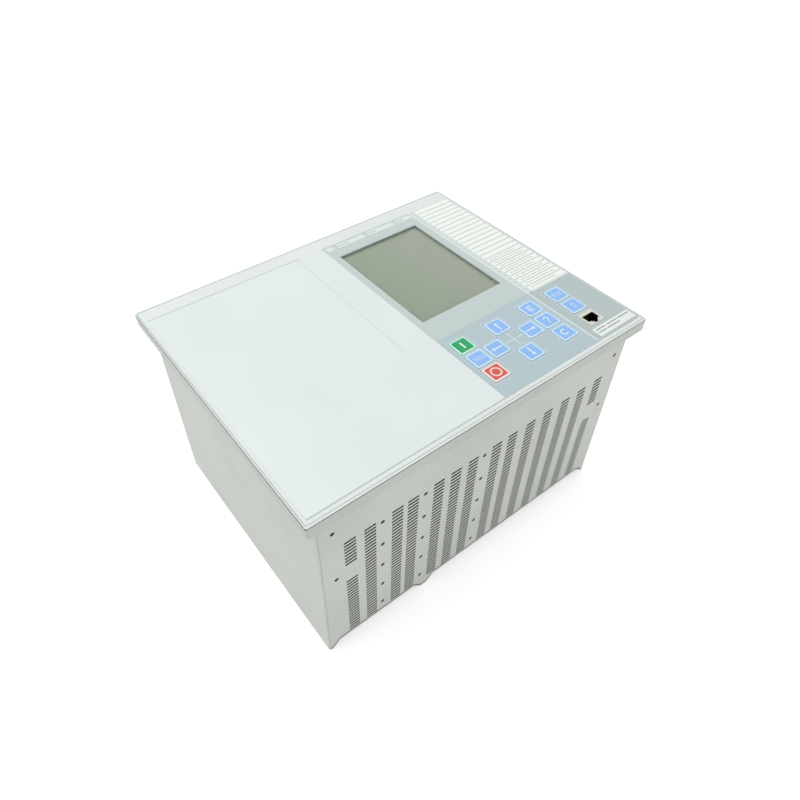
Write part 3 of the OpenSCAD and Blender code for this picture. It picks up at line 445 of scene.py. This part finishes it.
# Each key's coloured field, and the pale line round its window
FIELD_W = 13.4
FIELD_R = 0.9
WINDOW_GAP = 0.32
WINDOW_LINE = 0.35


def finished(name, bm, material, body):
    """Links a new piece, and says what it rides on and which finish it stands for."""
    mesh = bpy.data.meshes.new(name)
    bm.normal_update()
    bmesh.ops.recalc_face_normals(bm, faces=bm.faces)
    bm.to_mesh(mesh)
    bm.free()
    mesh.materials.append(material)
    piece = bpy.data.objects.new(name, mesh)
    scene.collection.objects.link(piece)
    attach(piece, body)


def prism(bm, outline, low, high):
    """Closed prism over an outline in millimetres, from one height to another."""
    bottom = [bm.verts.new((x * MM, y * MM, low * MM)) for x, y in outline]
    top = [bm.verts.new((x * MM, y * MM, high * MM)) for x, y in outline]
    bm.faces.new(bottom[::-1])
    bm.faces.new(top)
    for i in range(len(outline)):
        j = (i + 1) % len(outline)
        bm.faces.new((bottom[i], bottom[j], top[j], top[i]))


def band(bm, points, width, low, high, closed=False):
    """Solid stroke of even width along points, with mitred corners, open or closed to a ring."""
    sharpest_mitre = 0.35
    n = len(points)
    sides = []
    for i, point in enumerate(points):
        here = Vector(point)
        ways = []
        if i or closed:
            ways.append((here - Vector(points[i - 1])).normalized())
        if i < n - 1 or closed:
            ways.append((Vector(points[(i + 1) % n]) - here).normalized())
        along = sum(ways, Vector((0, 0))).normalized()
        across = Vector((-along.y, along.x))
        reach = width / 2 / max(sharpest_mitre, across.dot(Vector((-ways[0].y, ways[0].x))))
        sides.append((here + across * reach, here - across * reach))
    rings = [[bm.verts.new((s.x * MM, s.y * MM, z * MM)) for z in (low, high) for s in pair] for pair in sides]
    count = n if closed else n - 1
    for i in range(count):
        a, b = rings[i], rings[(i + 1) % n]
        for p, q in ((0, 1), (1, 3), (3, 2), (2, 0)):
            bm.faces.new((a[p], a[q], b[q], b[p]))
    if not closed:
        for ring in (rings[0], rings[-1]):
            bm.faces.new((ring[0], ring[1], ring[3], ring[2]))


def rectangle(x0, y0, x1, y1):
    """Outline of a rectangle between two corners."""
    return [(x0, y0), (x1, y0), (x1, y1), (x0, y1)]


def arc(cx, cy, radius, first, last, steps):
    """Points on a circle round cx, cy, from one angle to another."""
    angles = [math.radians(first + (last - first) * i / steps) for i in range(steps + 1)]
    return [(cx + radius * math.cos(angle), cy + radius * math.sin(angle)) for angle in angles]


def round_rectangle(x0, y0, x1, y1, radius, steps=5):
    """Outline of a rectangle between two corners, with rounded corners."""
    corners = ((x1 - radius, y1 - radius, 0), (x0 + radius, y1 - radius, 90),
               (x0 + radius, y0 + radius, 180), (x1 - radius, y0 + radius, 270))
    return [point for cx, cy, first in corners for point in arc(cx, cy, radius, first, first + 90, steps)]


MATERIALS = {
    "frame_paint": folded_frame("frame_powder_coat"),
    "case_sheet": powder_coat("case_powder_coat", "#D0D4CD", "#D6DAD3", 0.5),
    "plate_paint": front_plate_paint("plate_powder_coat"),
    "blank_foil": printed_foil("blank_polyester_foil", "#E3ECEB", "#E6EFED"),
    "operator_foil": operator_print("operator_polyester_foil"),
    "pane": clear_pane("acrylic_pane"),
    "display": liquid_crystal("liquid_crystal"),
    "display_metal": sheet_metal("tinned_steel", "#B0B3B4", "#C6C9CA", 0.35, 0.4, 20.0),
    "label_card": card("white_label_card"),
    "lens": frosted_lens("frosted_polycarbonate"),
    "board": circuit_board("circuit_board"),
    "black_plastic": moulded("black_polyamide", "#1C1D1E", "#242526"),
    "carrier_plastic": moulded("grey_abs", "#4A4D4F", "#54575A"),
    "key_blue": moulded("blue_key_border", "#CFEBFD", "#D6F0FF", rough=0.4, deep_mm=0.006),
    "key_green": moulded("green_key_border", "#CDF5E6", "#D3F8EA", rough=0.4, deep_mm=0.006),
    "key_red": moulded("red_key_border", "#FBEDEA", "#FEF2EF", rough=0.4, deep_mm=0.006),
    "socket_ivory": socket_plastic("ivory_polyester"),
    "contact": sheet_metal("gold_plated_bronze", "#C79A45", "#E3BC68", 0.25, 0.2, 4.0),
    "gasket": foam_rubber("foam_rubber"),
    "zinc": sheet_metal("zinc_plated_steel", "#A9ABAD", "#C4C7C9", 0.34, 0.3, 1.0),
    "dark_screw": sheet_metal("black_zinc_steel", "#2A2C2C", "#3A3D3D", 0.4, 0.3, 1.0),
    "aluminium": sheet_metal("rolled_aluminium", "#BFC1C3", "#D3D5D6", 0.42, 0.35, 40.0),
    "guide_plastic": moulded("natural_polyamide", "#CFC9AC", "#DAD5BC"),
    "terminal_green": moulded("green_polyamide", "#1C6B45", "#237A50"),
    "core_steel": laminations("electrical_steel"),
    "coil": wound_coil("enamelled_copper"),
    "earth_brass": sheet_metal("brass", "#B08D45", "#CDAA60", 0.3, 0.3, 1.0),
}


# The vented sheets, and the side along Y on which each one's outer face lies
VENTED_SHEETS = {"top_sheet": 1, "bottom_sheet": -1}
SLOT_SHADE_COAT = punched_sheet("punched_coat_slot_shade")
# Painted shadow: the dark coat of the band along the vented sheets' rear edges
REAR_SHADOW_COAT = powder_coat("painted_rear_edge_shadow", "#424441", "#4C4E4B", 0.05)


def dress_frame():
    """Gives each CAD node the finish of its record slot, and the vented sheets a coat with painted shade in their
    slots.
    """
    for name, node in frame["nodes"].items():
        data = node.data
        data.materials.clear()
        data.materials.append(SLOT_SHADE_COAT if name in VENTED_SHEETS else MATERIALS[SLOTS[name]])


KEY_FIELD = {"key_green": ink("green_key_ink", "#0EA463"), "key_red": ink("red_key_ink", "#DA594B"),
             "key_blue": ink("blue_key_ink", "#92BFF9")}
KEY_MARK = {"key_green": ink("white_ink", "#F2FAF4"), "key_red": ink("pale_red_ink", "#F8DDD7"),
            "key_blue": ink("pale_blue_ink", "#D8EFFB")}
FAINT_INK = ink("faint_blue_ink", "#BDDCFC")
WINDOW_INK = {"key_green": ink("green_window_ink", "#C8ECDF"), "key_red": ink("red_window_ink", "#E2D8D6"),
              "key_blue": ink("blue_window_ink", "#C8E6F8")}


def arrow(dx, dy, reach=5.3):
    """An arrow towards dx, dy: the outline of its shaft and that of its head."""
    wide, head_long, head_wide = 1.4, 3.4, 4.0
    neck = reach - head_long
    shaft = rectangle(-reach, -wide / 2, neck, wide / 2)
    head = [(neck, -head_wide / 2), (reach, 0), (neck, head_wide / 2)]
    return [[(a * dx - b * dy, a * dy + b * dx) for a, b in outline] for outline in (shaft, head)]


def bars(reach, rows, thick):
    """Level bars, reach to each side of the middle, one at each of the rows."""
    return [rectangle(-reach, y - thick / 2, reach, y + thick / 2) for y in rows]


def tiles(columns, pitch, wide, rows, thick):
    """Small tiles in columns round the middle, one in each of the rows."""
    middles = [(i - (columns - 1) / 2) * pitch for i in range(columns)]
    return [rectangle(x - wide / 2, y - thick / 2, x + wide / 2, y + thick / 2) for x in middles for y in rows]


# Marks on the keys from each key's middle, in millimetres: an outline, or a stroke as (points, width)
KEY_MARKS = {
    "key_on": bars(0.7, [0], 7.4),
    "key_off": [(arc(0, 0, 4.2, 0, 345, 23), 1.4)],
    "key_menu": tiles(4, 2.7, 1.9, [1.1, -1.3], 1.5),
    "key_left": arrow(-1, 0),
    "key_up": arrow(0, 1, 4.9),
    "key_down": arrow(0, -1),
    "key_right": arrow(1, 0),
    "key_enter": [([(2.6, 2.8), (-2.2, 2.8), (-2.2, -2.8), (2.6, -2.8)], 1.2), ([(-1.6, 0), (1.9, 0)], 1.2)],
    "key_help": [(arc(0, 1.5, 2.1, 165, -60, 14) + [(0, -1.6)], 1.2), arc(0, -3.3, 0.75, 0, 330, 11)],
    "key_cancel": [(arc(0, 0, 2.9, 48, 312, 20), 1.3)],
    "key_clear_lamps": tiles(3, 3.6, 2.5, [0.9], 2.4) + bars(4.8, [-1.9], 0.9),
    "key_local_remote": [[(-2.2, 0.8), (0, 4.2), (2.2, 0.8)], [(-2.2, -0.8), (2.2, -0.8), (0, -4.2)]],
}
FAINT_MARKS = {"key_menu", "key_clear_lamps", "key_local_remote"}
CLOSED_MARKS = {"key_off"}


def print_keys():
    """Prints a field and its mark on top of each key, riding with it, and a pale line round the key's window."""
    half = FIELD_W / 2
    off = WINDOW_GAP + WINDOW_LINE / 2
    for key, shapes in KEY_MARKS.items():
        low, high = mm_box(key)
        cx, cy = centre(key)
        top, slot, body = high.z, SLOTS[key], key + "_body"
        bm = bmesh.new()
        prism(bm, round_rectangle(cx - half, cy - half, cx + half, cy + half, FIELD_R), top, top + PRINT_T)
        finished(key + "_field", bm, KEY_FIELD[slot], body)
        bm = bmesh.new()
        for shape in shapes:
            is_stroke = isinstance(shape, tuple)
            shifted = [(cx + x, cy + y) for x, y in (shape[0] if is_stroke else shape)]
            if is_stroke:
                band(bm, shifted, shape[1], top + PRINT_T, top + 2 * PRINT_T, closed=key in CLOSED_MARKS)
            else:
                prism(bm, shifted, top + PRINT_T, top + 2 * PRINT_T)
        finished(key + "_mark", bm, FAINT_INK if key in FAINT_MARKS else KEY_MARK[slot], body)
        bm = bmesh.new()
        line = round_rectangle(low.x - off, low.y - off, high.x + off, high.y + off, FIELD_R)
        band(bm, line, WINDOW_LINE, FACE, FACE + PRINT_T, closed=True)
        finished(key + "_window_line", bm, WINDOW_INK[slot], CASE)


def print_piece(name, hex_colour, shapes, top, rough=0.42, thick=PRINT_T):
    """One thin piece on the front, from the outlines of its parts: print, and painted shade for the blank foil's
    edges.
    """
    bm = bmesh.new()
    for shape in shapes:
        prism(bm, shape, top, top + thick)
    finished(name, bm, ink(name + "_ink", hex_colour, rough), CASE)


def print_operator_lines():
    """The divider beside the lamps, the status fields and their rules, the arrows' cross and the card's edge."""
    divider, below, above = 1.5, 0.9, 0.3
    print_piece("divider_line", "#DFEAEA", [rectangle(DIVIDER_X - divider / 2, FOIL_LOW.y + below,
                                                      DIVIDER_X + divider / 2, FOIL_HIGH.y - above)], FACE)
    strip_low, strip_high, corner_r = FOIL_HIGH.y - 8.2, FOIL_HIGH.y - 2.3, 0.6
    lamp_room, divider_room, edge_room = 2.2, 1.2, 2.0
    pitch = (STATUS_HIGH.x - STATUS_LOW.x - (LAMPS_HIGH.x - LAMPS_LOW.x)) / 2
    lamps = [STATUS_LOW.x + (LAMPS_HIGH.x - LAMPS_LOW.x) / 2 + i * pitch for i in range(3)]
    ends = [(x + lamp_room, min(x + pitch - lamp_room, DIVIDER_X - divider_room)) for x in lamps]
    ends.append((FOIL_LOW.x + edge_room, lamps[0] - lamp_room))
    print_piece("status_fields", "#E0ECE8",
                [round_rectangle(x0, strip_low, x1, strip_high, corner_r) for x0, x1 in ends], FACE)
    indent, rule = 4.0, 1.0
    print_piece("status_rules", "#A9B5B3",
                [rectangle(x + indent, STATUS_Y - rule / 2, x + indent + long, STATUS_Y + rule / 2)
                 for x, long in zip(lamps, (11.0, 8.0, 6.5))], FACE + PRINT_T)
    cx, cy = centre("key_up")[0], centre("key_left")[1]
    reach_x, reach_y, hair = 8.6, 8.2, 1.1
    print_piece("arrow_cross", "#D8E4E4",
                [rectangle(cx - reach_x, cy - hair / 2, cx + reach_x, cy + hair / 2),
                 rectangle(cx - hair / 2, cy + hair / 2, cx + hair / 2, cy + reach_y),
                 rectangle(cx - hair / 2, cy - reach_y, cx + hair / 2, cy - hair / 2)], FACE)
    print_piece("card_edge_line", "#DDE8E4",
                [rectangle(CARD_LOW.x, CARD_LOW.y - 2.3, FOIL_HIGH.x - 0.1, CARD_LOW.y - 0.8)], FACE)


def paint_blank_foil_edge_shade():
    """Painted shade along the blank foil's upper and lower edge, and along the ridge over the edge of the insert
    pocket behind it.
    """
    edge, past_pocket = 0.75, 2.0
    pocket_line, above = 1.6, 1.5
    # Painted shade along the foil's edges, and along the pocket's ridge
    print_piece("blank_foil_edge_shade", "#B8C4C2",
                [rectangle(BLANK_LOW.x, BLANK_HIGH.y - edge, POCKET_X + past_pocket, BLANK_HIGH.y),
                 rectangle(BLANK_LOW.x, BLANK_LOW.y, BLANK_HIGH.x, BLANK_LOW.y + edge)], FACE)
    print_piece("insert_pocket_ridge_shade", "#DBE5E3",
                [rectangle(POCKET_X - pocket_line / 2, POCKET_Y, POCKET_X + pocket_line / 2, BLANK_HIGH.y - above)],
                FACE)


def stick_blank_label():
    """The white label beside the socket, with two rows of bare rules."""
    x0, y0, x1, y1 = LABEL_PLACE
    corner_r = 0.8
    print_piece("blank_label", "#EEF3F1", [round_rectangle(x0, y0, x1, y1, corner_r)], FACE,
                rough=0.55, thick=LABEL_T)
    upper, lower, rule = y1 - 2.7, y1 - 6.1, 1.0
    rules = [(upper, 2.1, 13.6), (upper, 15.2, 27.4), (upper, 28.6, 42.2), (lower, 2.1, 11.2), (lower, 12.6, 27.8)]
    print_piece("blank_label_rules", "#8F9896",
                [rectangle(x0 + first, y - rule / 2, x0 + last, y + rule / 2) for y, first, last in rules],
                FACE + LABEL_T, rough=0.6)


def rule_label_card():
    """Thin grey rules between the labels, and short dashes in the lowest rows."""
    pitch = (CARD_HIGH.y - CARD_LOW.y) / LABEL_ROWS
    rule, dash, margin, gap = 1.5, 0.9, 3.0, 0.9
    lines = [CARD_LOW.y + i * pitch for i in range(1, LABEL_ROWS)]
    print_piece("label_rules", "#D2DAD3",
                [rectangle(CARD_LOW.x, y - rule / 2, CARD_HIGH.x, y + rule / 2) for y in lines],
                CARD_HIGH.z, rough=0.6)
    dashes = []
    for row in range(DASHED_ROWS):
        y = CARD_LOW.y + (row + 0.5) * pitch
        x = CARD_LOW.x + margin
        for i in range(5):
            long = 3.5 + 2.3 * ((2 * i + 3 * row) % 4)
            if x + long < CARD_HIGH.x - margin:
                dashes.append(rectangle(x, y - dash / 2, x + long, y + dash / 2))
            x += long + gap
    print_piece("label_dashes", "#C9CABF", dashes, CARD_HIGH.z, rough=0.6)


def seen_or_mirrored(tree):
    """One for what the camera sees, straight or in metal and glass, and nothing for light on the object."""
    path = add(tree, "LightPath").outputs
    mirrored = add(tree, "Math", {"operation": "MAXIMUM"}, {0: path["Is Glossy Ray"], 1: path["Is Transmission Ray"]})
    seen = add(tree, "Math", {"operation": "MAXIMUM"}, {0: path["Is Camera Ray"], 1: mirrored.outputs[0]})
    unscattered = add(tree, "Math", {"operation": "LESS_THAN", 1: 0.5}, {0: path["Diffuse Depth"]})
    return overlap(tree, seen.outputs[0], unscattered.outputs[0])


def paint_rear_edge_shadow(name, side):
    """A painted shadow along the rear of a vented sheet and round its tabs, as a thin dark band on its outer face."""
    hair = 0.01
    source = bmesh.new()
    source.from_mesh(frame["nodes"][name].data)
    inner = SHEET_HIGH.y * side
    outer = inner + PRINT_T * side
    bm = bmesh.new()
    for edge in source.edges:
        ends = [v.co / MM for v in edge.verts]
        is_rear = all(abs(p.y - inner) < hair and p.z < REAR_ZONE for p in ends)
        is_border = len([face for face in edge.link_faces if abs(face.normal.y) > 0.5]) == 1
        is_upright = abs(ends[0].x - ends[1].x) < hair
        if not (is_rear and is_border) or is_upright:
            continue
        rings = [[bm.verts.new((p.x * MM, y * MM, (p.z + up) * MM)) for y, up in
                  ((inner, 0), (outer, 0), (outer, REAR_SHADOW_WIDTH), (inner, REAR_SHADOW_WIDTH))] for p in ends]
        for i in range(4):
            j = (i + 1) % 4
            bm.faces.new((rings[0][i], rings[0][j], rings[1][j], rings[1][i]))
        bm.faces.new(rings[0])
        bm.faces.new(rings[1][::-1])
    source.free()
    finished(name + "_painted_rear_shadow", bm, REAR_SHADOW_COAT, CASE)


# The floor's half width in metres, and its own light and the sky's, as shares of white
FLOOR_REACH = 8.0
FLOOR_LIFT = 0.5
WORLD_LEVEL = 0.57
# Soft boxes: name, place in metres, size in metres, power in watts; all turn to the relay's middle
SOFT_BOXES = [
    ("top_soft_box", (-0.5, 0.9, 2.2), 2.0, 23.6),
    ("front_soft_box", (0.3, -2.2, 1.4), 1.6, 7.6),
]
RELAY_MIDDLE = Vector((0, 0, 0.1))


def make_stage():
    """Pale floor under the relay, lit plainly, with its shadow kept."""
    bm = bmesh.new()
    bmesh.ops.create_grid(bm, x_segments=1, y_segments=1, size=FLOOR_REACH)
    mesh = bpy.data.meshes.new("floor")
    bm.to_mesh(mesh)
    bm.free()
    floor = bpy.data.objects.new("floor", mesh)
    scene.collection.objects.link(floor)
    made = bpy.data.materials.new("pale_floor")
    made.use_nodes = True
    tree = made.node_tree
    tree.nodes.clear()
    lift = add(tree, "Math", {"operation": "MULTIPLY", 1: FLOOR_LIFT}, {0: seen_or_mirrored(tree)})
    matt = add(tree, "BsdfDiffuse", {"Color": linear("#F2F3F2")})
    glow = add(tree, "Emission", {"Color": linear("#FFFFFF")}, {"Strength": lift.outputs[0]})
    summed = add(tree, "AddShader", links={0: matt.outputs[0], 1: glow.outputs[0]})
    add(tree, "OutputMaterial", links={"Surface": summed.outputs[0]})
    mesh.materials.append(made)


def make_lights():
    """A white sky that lights the relay at a plain level, and two soft boxes."""
    world = bpy.data.worlds.new("studio")
    scene.world = world
    world.use_nodes = True
    tree = world.node_tree
    sky = tree.nodes["Background"]
    sky.inputs["Color"].default_value = linear("#FFFFFF")
    level = add(tree, "MapRange", {"To Min": WORLD_LEVEL, "To Max": 1.0}, {"Value": seen_or_mirrored(tree)})
    tree.links.new(level.outputs["Result"], sky.inputs["Strength"])
    for name, place, size, power in SOFT_BOXES:
        data = bpy.data.lights.new(name, "AREA")
        data.size = size
        data.energy = power
        lamp = bpy.data.objects.new(name, data)
        lamp.location = place
        lamp.rotation_mode = "QUATERNION"
        lamp.rotation_quaternion = (RELAY_MIDDLE - Vector(place)).to_track_quat("-Z", "Y")
        scene.collection.objects.link(lamp)
    scene.view_settings.view_transform = "Standard"


make_camera()
make_stage()
make_lights()
dress_frame()
print_keys()
print_operator_lines()
paint_blank_foil_edge_shade()
stick_blank_label()
rule_label_card()
for sheet, side in VENTED_SHEETS.items():
    paint_rear_edge_shadow(sheet, side)
